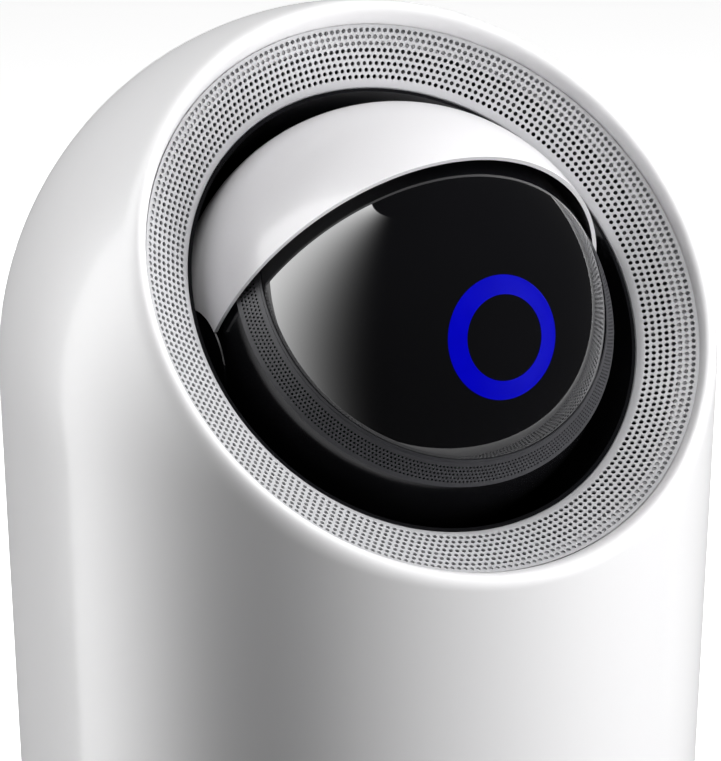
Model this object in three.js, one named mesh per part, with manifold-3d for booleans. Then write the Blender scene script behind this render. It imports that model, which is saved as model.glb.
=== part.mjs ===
// A tower air purifier: a round-topped column whose slanted mouth holds a perforated outlet ring
// and a glass "eye" with a moving lid. Air is drawn in round the foot, through a drum filter,
// and blown up round the eye's well. Millimetres, +Z up, front towards -Y, resting on z = 0.
import * as THREE from "three";
import { mergeVertices } from "three/addons/utils/BufferGeometryUtils.js";
import Module from "manifold-3d";

const wasm = await Module();
wasm.setup();

// ---- Driving dimensions ----
const gap = 0.3; // between pieces that touch
const facetRoom = 0.7; // more than a faceted ball falls short of a true one
const bodyRadius = 158;
const bodyHeight = 760;
const wall = 3;

const mouthTilt = 48.7; // degrees that the mouth's axis leans forward from straight up
const mouthDrop = 3; // the mouth's axis runs this far below the middle of the dome
const grilleWidth = 22.2; // from the inner to the outer radius
const lipReach = 8.3; // from the grille's edge out to the body's own surface
const lipSink = 2.36; // the grille's edge lies this far below that surface's rim
const grilleDepth = 14.5; // how far the funnel sinks towards its inner edge
const grilleThickness = 1.6;
const grilleLip = 8;

const eyeDepth = 26.6; // middle of the eye behind the grille's inner edge
const glassRimShare = 78.4 / 90; // of the glass's radius
const glassThickness = 2.5;
const bandDrop = 9; // the perforated band slopes back by this much
const lidRadius = 96;
const lidToShell = 4; // from the lid's outside in to the eye's shell
const lidToGlass = 6; // and to the glass
const lidThickness = 1.8;
const lidEdgeTilt = 24.6; // degrees that the lid's front edge leans forward from straight up
const lidEdgeLead = 4.8; // the front edge runs this far before the pivots
const lidRearDrop = 12; // the rear edge ends this far below the pivots
const wellClearance = 4.3; // between the lid and the well
const wellThickness = 1.6;
const grilleToWell = 1.9; // the grille's inner edge stands this far outside the well
const ringOuterRadius = 25; // status light
const ringInnerRadius = 17.3;
const ringDroop = 26.8; // degrees below the mouth's axis
const pivotRadius = 3;

const footHeight = 6;
const baseHeight = 34;
const baseInset = 8;
const deckThickness = 4;
const filterHeight = 304;
const filterRadius = 108;
const filterBore = 60;
const capThickness = 8;
const filterPlay = 1; // above the filter, so that it slides out
const doorStart = 8; // the rear door begins this far behind the middle
const postThickness = 16;
const postWidth = 22;

const impellerRadius = 102;
const impellerHeight = 52;
const bladeCount = 11;
const inletRadius = 62;
const fanClearance = 14; // from the impeller to its housing
const usualFanRoom = 35.7; // from the housing to the rim of its deck
const motorRadius = 34;
const motorHeight = 36;
const shaftRadius = 4;
const footRadius = 11;
const footCircle = 122;

// ---- Heights and radii worked out from them ----
const domeCentre = bodyHeight - bodyRadius;
const baseTop = footHeight + baseHeight;
const deckTop = baseTop + gap + deckThickness;
const filterBottom = deckTop + gap;
const filterTop = filterBottom + filterHeight;
const fanDeckBottom = filterTop + filterPlay;
const fanDeckTop = fanDeckBottom + deckThickness + 2;
const seamHeight = fanDeckTop + 2; // where the upper shell meets the intake panels
const innerRadius = bodyRadius - wall;
const wellRadius = lidRadius + wellClearance;
const grilleInnerRadius = wellRadius + grilleToWell;
const grilleOuterRadius = grilleInnerRadius + grilleWidth;
// Heights along the mouth's axis, from the middle of the dome
const grilleOuterHeight = Math.sqrt(bodyRadius ** 2 - (grilleOuterRadius + lipReach) ** 2) - lipSink;
const grilleInnerHeight = grilleOuterHeight - grilleDepth;
const eyeHeight = grilleInnerHeight - eyeDepth;
const lidInner = lidRadius - lidThickness;
const eyeShellRadius = lidRadius - lidToShell;
const glassRadius = lidRadius - lidToGlass;
const glassRimRadius = glassRadius * glassRimShare;
const glassRimHeight = Math.sqrt(glassRadius ** 2 - glassRimRadius ** 2);
const bandInnerRadius = glassRimRadius + gap;
const bandOuterHeight = glassRimHeight - bandDrop;
const bandOuterRadius = Math.sqrt((lidInner - 1) ** 2 - bandOuterHeight ** 2);
const housingRadius = impellerRadius + fanClearance;
const impellerBottom = fanDeckTop + gap + 14;
const impellerTop = impellerBottom + impellerHeight;
const bridgeBottom = impellerTop + 12;
const bridgeTop = bridgeBottom + deckThickness;

// ---- Materials ----
const material = (color, roughness, metalness = 0) =>
  new THREE.MeshStandardMaterial({ color, roughness, metalness });
const white = material(0xf2f1f2, 0.38);
const silver = material(0xdcdcde, 0.35);
const black = material(0x0b0b0c, 0.25);
const glassBlack = material(0x040405, 0.04);
const darkGrey = material(0x3a3a3e, 0.5);
const blue = material(0x0000d0, 0.4);
const paper = material(0xe6e4dc, 0.9);
const carbon = material(0x202022, 0.95);
const greyPlastic = material(0xb9babd, 0.5);
const steel = material(0x9a9ca0, 0.3, 1);
const rubber = material(0x1b1b1c, 0.85);
const boardGreen = material(0x1c5b35, 0.5);

// ---- Solids ----
const solidOf = (geometry) => {
  const bare = geometry.index ? geometry.toNonIndexed() : geometry.clone();
  bare.deleteAttribute("normal");
  bare.deleteAttribute("uv");
  const merged = mergeVertices(bare, 1e-4);
  const mesh = new wasm.Mesh({
    numProp: 3,
    vertProperties: merged.attributes.position.array,
    triVerts: new Uint32Array(merged.index.array),
  });
  return new wasm.Manifold(mesh);
};

const geometryOf = (solid) => {
  const mesh = solid.getMesh();
  const geometry = new THREE.BufferGeometry();
  geometry.setAttribute("position", new THREE.BufferAttribute(mesh.vertProperties, 3));
  geometry.setIndex(new THREE.BufferAttribute(mesh.triVerts, 1));
  const faceted = geometry.toNonIndexed();
  faceted.computeVertexNormals();
  return faceted;
};

const join = (...solids) => solids.reduce((whole, piece) => whole.add(piece));
const cut = (solid, ...cutters) => cutters.reduce((left, cutter) => left.subtract(cutter), solid);

// A closed outline of [radius, height] points, turned round Z.
const turned = (outline, segments = 36) => {
  const area = outline.reduce((sum, [r, z], i) => {
    const [nextR, nextZ] = outline[(i + 1) % outline.length];
    return sum + r * nextZ - nextR * z;
  }, 0);
  const ordered = area > 0 ? outline : [...outline].reverse();
  const onAxis = ordered.findIndex(([r], i) => r === 0 && ordered.at(i - 1)[0] === 0);
  const start = Math.max(onAxis, 0);
  const points = [...ordered.slice(start), ...ordered.slice(0, start)];
  if (onAxis < 0) points.push(points[0]);
  const vectors = points.map(([r, z]) => new THREE.Vector2(r, z));
  return solidOf(new THREE.LatheGeometry(vectors, segments).rotateX(Math.PI / 2));
};

const tube = (outer, inner, bottom, top, segments) =>
  turned([[inner, bottom], [outer, bottom], [outer, top], [inner, top]], segments);

const rod = (radius, bottom, top, segments = 16) =>
  turned([[0, bottom], [radius, bottom], [radius, top], [0, top]], segments);

const box = (x0, x1, y0, y1, z0, z1) =>
  solidOf(
    new THREE.BoxGeometry(x1 - x0, y1 - y0, z1 - z0).translate(
      (x0 + x1) / 2,
      (y0 + y1) / 2,
      (z0 + z1) / 2,
    ),
  );

// Points on a circle of the given radius round [0, middle], from one angle off the axis to another.
const arc = (radius, middle, from, to, steps) =>
  Array.from({ length: steps + 1 }, (_, i) => {
    const angle = THREE.MathUtils.degToRad(from + ((to - from) * i) / steps);
    const r = Math.abs(radius * Math.sin(angle));
    return [r < 1e-6 ? 0 : r, middle + radius * Math.cos(angle)];
  });

const angleOf = (opposite, hypotenuse) =>
  THREE.MathUtils.radToDeg(Math.asin(opposite / hypotenuse));

const ball = (radius, segments = 36) => turned(arc(radius, 0, 180, 0, segments / 2), segments);

// A slice of a tube between two angles round Z, in degrees from +X.
const sector = (outer, inner, from, to, bottom, top) => {
  const start = THREE.MathUtils.degToRad(from);
  const end = THREE.MathUtils.degToRad(to);
  const shape = new THREE.Shape();
  shape.absarc(0, 0, outer, start, end, false);
  shape.absarc(0, 0, inner, end, start, true);
  shape.closePath();
  const settings = { depth: top - bottom, bevelEnabled: false, curveSegments: 20 };
  return solidOf(new THREE.ExtrudeGeometry(shape, settings).translate(0, 0, bottom));
};

const alongX = (solid) => solid.rotate([0, 90, 0]);

// ---- Scene graph ----
const purifier = new THREE.Group();
const dome = new THREE.Group();
dome.position.z = domeCentre;
const mouth = new THREE.Group();
mouth.rotation.x = THREE.MathUtils.degToRad(mouthTilt);
const slopeUp = new THREE.Vector3(0, 1, 0).applyEuler(mouth.rotation);
mouth.position.copy(slopeUp).multiplyScalar(-mouthDrop);
const eye = new THREE.Group();
eye.position.z = eyeHeight;
const lidFrame = new THREE.Group();
lidFrame.rotation.x = -mouth.rotation.x;
purifier.add(dome);
dome.add(mouth);
mouth.add(eye);
eye.add(lidFrame);

const place = (parent, name, solid, finish) => {
  const mesh = new THREE.Mesh(geometryOf(solid), finish);
  mesh.name = name;
  parent.add(mesh);
};

// ---- Upper shell: a capsule with a rounded lip round the slanted mouth ----
const capsule = (radius, floor) =>
  turned([[0, floor], [radius, floor], ...arc(radius, 0, 90, 0, 9)], 48);

const tilted = (solid) =>
  solid.rotate([mouthTilt, 0, 0]).translate(mouth.position.toArray());

const shellFloor = seamHeight - domeCentre;
const lipRise = 16;
const lipWidth = 12;
const openingRadius = grilleOuterRadius + gap;
const collarFloor = grilleOuterHeight - 6;
const collar = tube(openingRadius + lipWidth + 2, openingRadius, collarFloor, bodyRadius, 48);
const funnelOutline = [
  [0, grilleOuterHeight - 40],
  [openingRadius, grilleOuterHeight - 40],
  [openingRadius, grilleOuterHeight],
  [openingRadius + 2.5, grilleOuterHeight + lipRise * 0.6],
  [openingRadius + lipWidth, grilleOuterHeight + lipRise],
  [openingRadius + lipWidth * 3, bodyRadius + 20],
  [0, bodyRadius + 20],
];
const funnelCut = turned(funnelOutline, 48);
const outside = capsule(bodyRadius, shellFloor);
const hollow = capsule(innerRadius, shellFloor - 1);
const skin = join(cut(outside, hollow), tilted(collar).intersect(outside));
place(dome, "upper_shell", cut(skin, tilted(funnelCut)), white);

// ---- Outlet grille: a funnel ring, its holes too fine for this model ----
const grilleOutline = [
  [grilleInnerRadius, grilleInnerHeight - grilleLip],
  [grilleInnerRadius + grilleThickness, grilleInnerHeight - grilleLip],
  [grilleInnerRadius + grilleThickness, grilleInnerHeight - grilleThickness],
  [grilleOuterRadius, grilleOuterHeight - grilleThickness],
  [grilleOuterRadius, grilleOuterHeight],
  [grilleInnerRadius, grilleInnerHeight],
];
place(mouth, "outlet_grille", turned(grilleOutline, 48), silver);

// ---- Well: a black bowl with room for the lid to swing ----
const wellRim = grilleInnerHeight - 1;
const wellOuter = wellRadius + wellThickness;
const wellOutline = [
  [wellRadius, wellRim],
  ...arc(wellRadius, eyeHeight, 90, 180, 8),
  ...arc(wellOuter, eyeHeight, 180, 90, 8),
  [wellOuter, wellRim],
];
const wellHanger = tube(
  grilleInnerRadius + grilleThickness + 4,
  wellOuter - 0.5,
  grilleInnerHeight - grilleLip - gap - 2,
  grilleInnerHeight - grilleLip - gap,
);
place(mouth, "well_liner", join(turned(wellOutline, 36), wellHanger), black);

// ---- Eye: shell, perforated band, glass, status light, board and stem ----
const eyeShellTop = bandOuterHeight - gap;
const eyeShellAngle = 90 - angleOf(eyeShellTop, eyeShellRadius);
const eyeShellInner = eyeShellRadius - 2;
const eyeInnerAngle = 90 - angleOf(eyeShellTop, eyeShellInner);
const eyeBack = turned(
  [
    ...arc(eyeShellRadius, 0, eyeShellAngle, 180, 8),
    ...arc(eyeShellInner, 0, 180, eyeInnerAngle, 8),
  ],
  36,
);
const pivotHole = alongX(rod(pivotRadius + gap, -lidRadius - 10, lidRadius + 10));
const boardHeight = bandOuterHeight - 8;
const boardThickness = 1.6;
const boardRadius = Math.sqrt(eyeShellInner ** 2 - boardHeight ** 2) - gap - facetRoom;
const ledgeTop = boardHeight - boardThickness - gap;
const ledge = tube(boardRadius + 2.2, boardRadius - 4, ledgeTop - 2, ledgeTop);
place(eye, "eye_shell", cut(join(eyeBack, ledge), pivotHole), black);

const bandOutline = [
  [bandInnerRadius, glassRimHeight - 3],
  [bandOuterRadius - 3, bandOuterHeight],
  [bandOuterRadius, bandOuterHeight],
  [(bandInnerRadius + bandOuterRadius) / 2 + 0.7, (glassRimHeight + bandOuterHeight) / 2 + 0.7],
  [bandInnerRadius, glassRimHeight],
];
place(eye, "eye_band", turned(bandOutline, 36), darkGrey);

const glassAngle = angleOf(glassRimRadius, glassRadius);
const glassInner = glassRadius - glassThickness;
const glassInnerAngle = angleOf(glassRimRadius - 1, glassInner);
const dish = turned(
  [
    ...arc(glassRadius, 0, 0, glassAngle, 7),
    ...arc(glassInner, 0, glassInnerAngle, 0, 7),
  ],
  36,
);
const lightDepth = 1;
const lightShell = (outer, inner) =>
  tube(outer, inner, glassInner * 0.5, glassRadius + 5, 24).rotate([ringDroop, 0, 0]);
const groove = cut(
  lightShell(ringOuterRadius + gap, ringInnerRadius - gap),
  ball(glassRadius - lightDepth - gap),
);
place(eye, "eye_glass", cut(dish, groove), glassBlack);

const light = cut(
  lightShell(ringOuterRadius, ringInnerRadius).intersect(ball(glassRadius)),
  ball(glassRadius - lightDepth),
);
place(eye, "light_ring", light, blue);

const chip = box(-14, 14, -40, -22, boardHeight - 0.1, boardHeight + 3);
const boardDisc = rod(boardRadius, boardHeight - boardThickness, boardHeight, 36);
place(eye, "eye_board", join(boardDisc, chip), boardGreen);

const stemRadius = 22;
const stemBlank = rod(stemRadius, -wellRadius - 5, -eyeShellRadius + 8, 32);
const stemOuter = ball(wellRadius - gap - facetRoom);
const stem = cut(stemBlank.intersect(stemOuter), ball(eyeShellRadius + gap));
place(eye, "eye_stem", stem, black);

// ---- Eyelid on two pivots, one of them the shaft of its small motor ----
const far = lidRadius * 2;
const frontHalf = box(-far, far, -far, -lidEdgeLead, -far, far).rotate([lidEdgeTilt, 0, 0]);
const below = box(-far, far, -far, far, -far, -lidRearDrop);
const lidBall = cut(ball(lidRadius), ball(lidInner));
place(lidFrame, "eyelid", cut(lidBall, frontHalf, below, pivotHole), white);

const pinInner = eyeShellInner - 12;
const pinOuter = lidRadius;
const collarRadius = pivotRadius + 4;
const pin = (side) => {
  const shaft = rod(pivotRadius, pinInner, pinOuter);
  const washer = rod(collarRadius, eyeShellRadius + gap, lidInner - 3 * gap - 0.1);
  const along = alongX(join(shaft, washer));
  return side < 0 ? along.rotate([0, 0, 180]) : along;
};
place(lidFrame, "lid_pivot_left", pin(-1), steel);
place(lidFrame, "lid_pivot_right", pin(1), steel);

const lidMotorRadius = 14;
const lidMotorLength = 30;
const bearingLength = 18;
const seatRadius = eyeShellInner - gap - facetRoom;
const bearing = (radius, length) => {
  const blank = alongX(rod(radius, eyeShellInner - length, eyeShellInner + 5));
  const bore = alongX(rod(pivotRadius + gap, pinInner - gap, lidRadius));
  return cut(blank.intersect(ball(seatRadius)), bore);
};
const lidMotor = bearing(lidMotorRadius, lidMotorLength).rotate([0, 0, 180]);
place(lidFrame, "lid_motor", lidMotor, greyPlastic);
place(lidFrame, "lid_bearing", bearing(lidMotorRadius - 5, bearingLength), greyPlastic);

// ---- Fan: deck, inlet, housing, impeller, bridge, motor and shaft ----
const deckRadius = innerRadius - gap;
const rimHeight = 14;
const deckRim = 3;
const roomShare = (deckRadius - deckRim - housingRadius) / usualFanRoom;
const fanDeck = join(
  tube(deckRadius, inletRadius + 6, fanDeckBottom, fanDeckTop, 48),
  tube(deckRadius, deckRadius - deckRim, fanDeckTop - 1, fanDeckTop + rimHeight, 48),
);
place(purifier, "fan_deck", fanDeck, greyPlastic);

const throat = inletRadius - 4;
place(
  purifier,
  "inlet_ring",
  turned([
    [inletRadius + 14, fanDeckTop + gap],
    [inletRadius + 14, fanDeckTop + gap + 2],
    [throat + 4, fanDeckTop + gap + 4],
    [throat + 2, impellerBottom + 6],
    [throat, impellerBottom + 6],
    [throat, fanDeckTop + gap + 4],
    [throat + 5, fanDeckTop + gap],
  ]),
  greyPlastic,
);

const housing = join(
  tube(housingRadius + 2.5, housingRadius, fanDeckTop + gap, bridgeBottom - gap, 36),
  tube(housingRadius + 12 * roomShare, housingRadius, fanDeckTop + gap, fanDeckTop + gap + 3, 36),
);
place(purifier, "fan_housing", housing, greyPlastic);

const hubRadius = 16;
const plateThickness = 2.5;
const eyeOfFan = throat + 5;
const blade = (turn) => {
  const shape = new THREE.Shape();
  const lean = 46;
  const inner = eyeOfFan + 3;
  const chord = (impellerRadius - inner) * 1.18;
  shape.moveTo(0, -1);
  shape.quadraticCurveTo(chord / 2, 7, chord, -1);
  shape.lineTo(chord, 1);
  shape.quadraticCurveTo(chord / 2, 9, 0, 1);
  shape.closePath();
  const settings = { depth: impellerHeight - plateThickness, bevelEnabled: false, curveSegments: 5 };
  const vane = new THREE.ExtrudeGeometry(shape, settings);
  vane.rotateZ(THREE.MathUtils.degToRad(-lean * 0.7));
  vane.translate(inner, 0, impellerBottom + 1);
  vane.rotateZ(turn);
  return solidOf(vane);
};
const blades = Array.from({ length: bladeCount }, (_, i) => blade((i * 2 * Math.PI) / bladeCount));
const rotor = join(
  rod(impellerRadius, impellerTop - plateThickness, impellerTop, 48),
  tube(impellerRadius, eyeOfFan, impellerBottom, impellerBottom + plateThickness, 48),
  rod(hubRadius, impellerTop - 24, impellerTop, 32),
  ...blades,
).intersect(rod(impellerRadius, impellerBottom, impellerTop, 48));
const shaftBottom = impellerTop - 20;
place(purifier, "impeller", cut(rotor, rod(shaftRadius + gap, shaftBottom - gap, impellerTop + 1)), darkGrey);

const motorBottom = bridgeTop + gap;
const shaftTop = motorBottom + motorHeight * 0.6;
place(purifier, "motor_shaft", rod(shaftRadius, shaftBottom, shaftTop), steel);

const armWidth = 14;
const arm = box(shaftRadius + 6, housingRadius + 2, -armWidth / 2, armWidth / 2, bridgeBottom, bridgeTop);
const arms = [90, 210, 330].map((angle) => arm.rotate([0, 0, angle]));
const bridgeBlank = join(
  rod(motorRadius + 8, bridgeBottom, bridgeTop, 32),
  tube(housingRadius + 2.5, housingRadius - 6, bridgeBottom, bridgeTop, 36),
  ...arms,
);
const screwCircle = motorRadius - 8;
const screwAngles = [30, 150, 270];
const screwAt = (solid, angle, circle) => {
  const turn = THREE.MathUtils.degToRad(angle);
  return solid.translate([circle * Math.cos(turn), circle * Math.sin(turn), 0]);
};
const screwRadius = 1.8;
const screwReach = 10;
const screwBore = rod(screwRadius + gap, bridgeBottom - 1, motorBottom + screwReach + gap, 12);
const screwBores = screwAngles.map((angle) => screwAt(screwBore, angle, screwCircle));
const shaftBore = rod(shaftRadius + gap, bridgeBottom - 1, shaftTop + gap);
place(purifier, "motor_bridge", cut(bridgeBlank, shaftBore, ...screwBores), greyPlastic);

const motorBlank = join(
  rod(motorRadius, motorBottom, motorBottom + motorHeight, 32),
  rod(motorRadius * 0.4, motorBottom, motorBottom + motorHeight + 6, 24),
);
place(purifier, "fan_motor", cut(motorBlank, shaftBore, ...screwBores), steel);

const motorScrew = join(
  rod(3.4, bridgeBottom - gap - 2.4, bridgeBottom - gap, 12),
  rod(screwRadius, bridgeBottom - 1, motorBottom + screwReach, 12),
);
screwAngles.forEach((angle, i) =>
  place(purifier, `motor_screw_${i + 1}`, screwAt(motorScrew, angle, screwCircle), steel),
);

// ---- Boards and sensor standing on the fan deck ----
const shelf = fanDeckTop + gap;
const outward = (distance) => housingRadius + distance * roomShare;
const boardBack = outward(14);
const controlBoard = join(
  box(-38, 38, boardBack, boardBack + 1.6, shelf, shelf + 62),
  box(-30, 30, outward(13), outward(22), shelf, shelf + 4),
  box(-20, 8, boardBack + 1, outward(21), shelf + 22, shelf + 44),
);
place(purifier, "control_board", controlBoard, boardGreen);
const sensor = box(-18, 18, boardBack, outward(27), shelf, shelf + 34);
const sensorPort = box(-5, 5, outward(22), outward(29), shelf + 12, shelf + 24);
place(purifier, "air_sensor", cut(sensor, sensorPort).rotate([0, 0, -58]), greyPlastic);

// ---- Lower body: posts, fixed front panel, lift-off rear door with its latch ----
const panelBottom = deckTop + gap;
const panelTop = seamHeight - gap;
const doorAngle = angleOf(doorStart, bodyRadius);
place(
  purifier,
  "front_intake_panel",
  sector(bodyRadius, innerRadius, 180 - doorAngle, 360 + doorAngle, panelBottom, panelTop),
  white,
);
const doorEdge = doorAngle + angleOf(2 * gap, bodyRadius);
const latchWidth = 36;
const latchHeight = 14;
const latchTop = panelTop - 18;
const latchSlot = (spare) =>
  box(
    -latchWidth / 2 - spare,
    latchWidth / 2 + spare,
    innerRadius - 10,
    bodyRadius + 5,
    latchTop - latchHeight - spare,
    latchTop + spare,
  );
const doorBlank = sector(bodyRadius, innerRadius, doorEdge, 180 - doorEdge, panelBottom, panelTop);
place(purifier, "rear_filter_door", cut(doorBlank, latchSlot(gap)), white);

const latchFace = sector(bodyRadius, innerRadius, 60, 120, latchTop - latchHeight, latchTop);
place(purifier, "door_latch", latchFace.intersect(latchSlot(0)), greyPlastic);

const postBottom = panelBottom;
const postTop = fanDeckBottom - gap;
const postOuter = innerRadius - 1;
const post = box(postOuter - postThickness, postOuter, -postWidth / 2, postWidth / 2, postBottom, postTop)
  .intersect(rod(innerRadius - gap, postBottom, postTop, 64));
place(purifier, "right_post", post, greyPlastic);
place(purifier, "left_post", post.rotate([0, 0, 180]), greyPlastic);

// ---- Filter cartridge ----
const mediaBottom = filterBottom + capThickness + gap;
const mediaTop = filterTop - capThickness - gap;
const coreWall = 6;
place(purifier, "carbon_core", tube(filterBore + coreWall, filterBore, mediaBottom, mediaTop), carbon);
const mediaInner = filterBore + coreWall + gap;
place(purifier, "filter_media", tube(filterRadius, mediaInner, mediaBottom, mediaTop), paper);
const meshOuter = filterRadius + gap + 1.6;
place(purifier, "prefilter_mesh", tube(meshOuter, filterRadius + gap, mediaBottom, mediaTop), darkGrey);
const capRadius = meshOuter + 2;
const topCap = tube(capRadius, filterBore - 2, mediaTop + gap, filterTop);
place(purifier, "filter_top_cap", topCap, greyPlastic);
const bottomCap = rod(capRadius, filterBottom, mediaBottom - gap, 48);
place(purifier, "filter_bottom_cap", bottomCap, greyPlastic);
const tabRoot = capRadius + gap;
const tabReach = (innerRadius - tabRoot) * 0.514;
const pullTab = cut(
  box(-16, 16, tabRoot, tabRoot + tabReach, filterBottom, filterBottom + 4),
  box(-9, 9, tabRoot + tabReach * 0.32, tabRoot + tabReach * 0.77, filterBottom - 1, filterBottom + 5),
);
place(purifier, "filter_pull_tab", pullTab, greyPlastic);

// ---- Base: shell, deck, feet, screws, mains inlet and power board ----
const baseRadius = bodyRadius - baseInset;
const baseFloor = footHeight + wall;
const baseBlank = turned(
  [
    [0, footHeight],
    [baseRadius - 4, footHeight],
    [baseRadius, footHeight + 4],
    [bodyRadius, baseTop - 12],
    [bodyRadius, baseTop],
    [innerRadius, baseTop],
    [innerRadius, baseTop - 12],
    [baseRadius - wall, baseFloor + 4],
    [baseRadius - wall - 4, baseFloor],
    [0, baseFloor],
  ],
  48,
);
const inletWidth = 28;
const inletTall = 14;
const inletDepth = 22;
const inletBottom = baseFloor + 6;
const inletFace = bodyRadius - 5;
const inletBlock = (spare) =>
  box(
    -inletWidth / 2 - spare,
    inletWidth / 2 + spare,
    inletFace - inletDepth - spare,
    inletFace + spare * 30,
    inletBottom - spare,
    inletBottom + inletTall + spare,
  );
const footAngles = [45, 135, 225, 315];
const baseScrewAngles = [0, 90, 180, 270];
const baseScrewCircle = footCircle - 8;
const baseBore = rod(screwRadius + gap, footHeight - 1, baseFloor + 1, 12);
const baseBores = baseScrewAngles.map((angle) => screwAt(baseBore, angle, baseScrewCircle));
place(purifier, "base_shell", cut(baseBlank, inletBlock(gap), ...baseBores), white);

const inletCavity = box(
  -inletWidth / 2 + 3,
  inletWidth / 2 - 3,
  inletFace - inletDepth + 4,
  inletFace + 1,
  inletBottom + 3,
  inletBottom + inletTall - 3,
);
const contactZ = inletBottom + inletTall / 2;
const contact = (x) =>
  box(x - 1.2, x + 1.2, inletFace - inletDepth + 3, inletFace - 6, contactZ - 1.2, contactZ + 1.2);
place(purifier, "power_inlet", join(cut(inletBlock(0), inletCavity), contact(-4.3), contact(4.3)), black);

const boardStand = 6;
const legs = [[-40, -26], [40, -26], [-40, 26], [40, 26]].map(([x, y]) =>
  rod(3, baseFloor + gap, baseFloor + boardStand + 0.5, 12).translate([x, y + 60, 0]),
);
const powerBoard = join(
  box(-48, 48, 28, 92, baseFloor + boardStand, baseFloor + boardStand + 1.6),
  box(-30, 0, 40, 70, baseFloor + boardStand + 1, baseFloor + boardStand + 18),
  ...legs,
);
place(purifier, "power_board", powerBoard, boardGreen);

place(purifier, "base_deck", rod(bodyRadius, baseTop + gap, deckTop, 48), white);

footAngles.forEach((angle, i) => {
  const foot = rod(footRadius, 0, footHeight - gap, 24);
  place(purifier, `foot_${i + 1}`, screwAt(foot, angle, footCircle), rubber);
});
const baseScrew = join(
  rod(3.4, footHeight - gap - 2.2, footHeight - gap, 12),
  rod(screwRadius, footHeight - 1, baseFloor + 1, 12),
);
baseScrewAngles.forEach((angle, i) =>
  place(purifier, `base_screw_${i + 1}`, screwAt(baseScrew, angle, baseScrewCircle), steel),
);

export default purifier;
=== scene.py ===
# %% [markdown]
# A tower air purifier. The engineering model gives every part its place and its joints, and this
# lesson gives the parts their looks. It could be one big sculpted mesh, but each part is made by
# itself, so that it still moves with the body that the engineering model puts it on.

import math

import bmesh
import bpy
from mathutils import Matrix, Vector


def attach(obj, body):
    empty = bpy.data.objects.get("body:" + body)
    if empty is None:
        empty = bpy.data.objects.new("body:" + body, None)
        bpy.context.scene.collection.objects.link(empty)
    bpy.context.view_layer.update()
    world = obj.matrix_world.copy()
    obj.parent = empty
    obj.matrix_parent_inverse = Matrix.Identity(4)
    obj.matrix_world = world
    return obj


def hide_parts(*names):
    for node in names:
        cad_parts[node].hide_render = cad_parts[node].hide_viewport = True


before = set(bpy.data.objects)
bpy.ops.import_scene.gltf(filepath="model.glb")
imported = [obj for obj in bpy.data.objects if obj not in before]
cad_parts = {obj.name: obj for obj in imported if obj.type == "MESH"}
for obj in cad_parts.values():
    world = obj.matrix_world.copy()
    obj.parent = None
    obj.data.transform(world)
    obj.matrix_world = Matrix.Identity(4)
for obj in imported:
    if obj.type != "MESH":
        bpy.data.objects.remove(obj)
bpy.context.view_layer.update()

# %% [markdown]
# Every finish is a small node tree. Shader maths reads best as plain Python, so a field wraps one
# socket and writes its own Math nodes when it is added or multiplied.


# %% Shader maths as expressions
class Field:
    def __init__(self, finish, socket):
        self.finish = finish
        self.socket = socket

    def _with(self, operation, first, second):
        return self.finish.add("ShaderNodeMath", {"operation": operation}, {0: first, 1: second})

    def __add__(self, other):
        return self._with("ADD", self, other)

    __radd__ = __add__

    def __mul__(self, other):
        return self._with("MULTIPLY", self, other)

    __rmul__ = __mul__


class Finish:
    def __init__(self, name):
        self.material = bpy.data.materials.new(name)
        self.material.use_nodes = True
        self.tree = self.material.node_tree
        self.shader = self.tree.nodes["Principled BSDF"]
        self.where = self.add("ShaderNodeTexCoord", {}, {}, "Object")

    def join(self, socket, value):
        if isinstance(value, Field):
            self.tree.links.new(value.socket, socket)
        else:
            socket.default_value = value

    def add(self, kind, settings, inputs, output=0):
        node = self.tree.nodes.new(kind)
        for key, value in settings.items():
            setattr(node, key, value)
        for key, value in inputs.items():
            self.join(node.inputs[key], value)
        return Field(self, node.outputs[output])

    def noise(self, scale, detail=3.0, where=None):
        inputs = {"Vector": where or self.where, "Scale": scale, "Detail": detail}
        return self.add("ShaderNodeTexNoise", {}, inputs, "Fac")

    def tones(self, dark, light, share):
        inputs = {"Factor": share, 6: (*dark, 1), 7: (*light, 1)}
        return self.add("ShaderNodeMix", {"data_type": "RGBA"}, inputs, 2)

    def bump(self, height, strength, distance):
        inputs = {"Height": height, "Strength": strength, "Distance": distance}
        return self.add("ShaderNodeBump", {}, inputs)

    def set(self, **values):
        for key, value in values.items():
            self.join(self.shader.inputs[key.replace("_", " ")], value)
        return self.material


print("finishes are written with", Finish.__name__, "and", Field.__name__)

# %% [markdown]
# Almost every part is moulded plastic. A flat colour would look like clay, so a moulded finish
# drifts a little in tone, its gloss changes over a hand's width, and a fine grain breaks the
# highlights. One function makes them all, from white satin to dark grey.


# %% Moulded plastics
def scaled(colour, share):
    return tuple(part * share for part in colour)


def moulded(name, colour, roughness, grain=0.05, grain_scale=1800.0, drift=0.03, coat=0.0):
    finish = Finish(name)
    broad = finish.noise(9.0, 2.0)
    fine = finish.noise(grain_scale, 2.0)
    return finish.set(
        Base_Color=finish.tones(scaled(colour, 1 - drift), colour, broad),
        Roughness=roughness - 0.03 + 0.06 * broad,
        Normal=finish.bump(fine, grain, 0.0002),
        Coat_Weight=coat,
        Coat_Roughness=0.12,
    )


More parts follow.
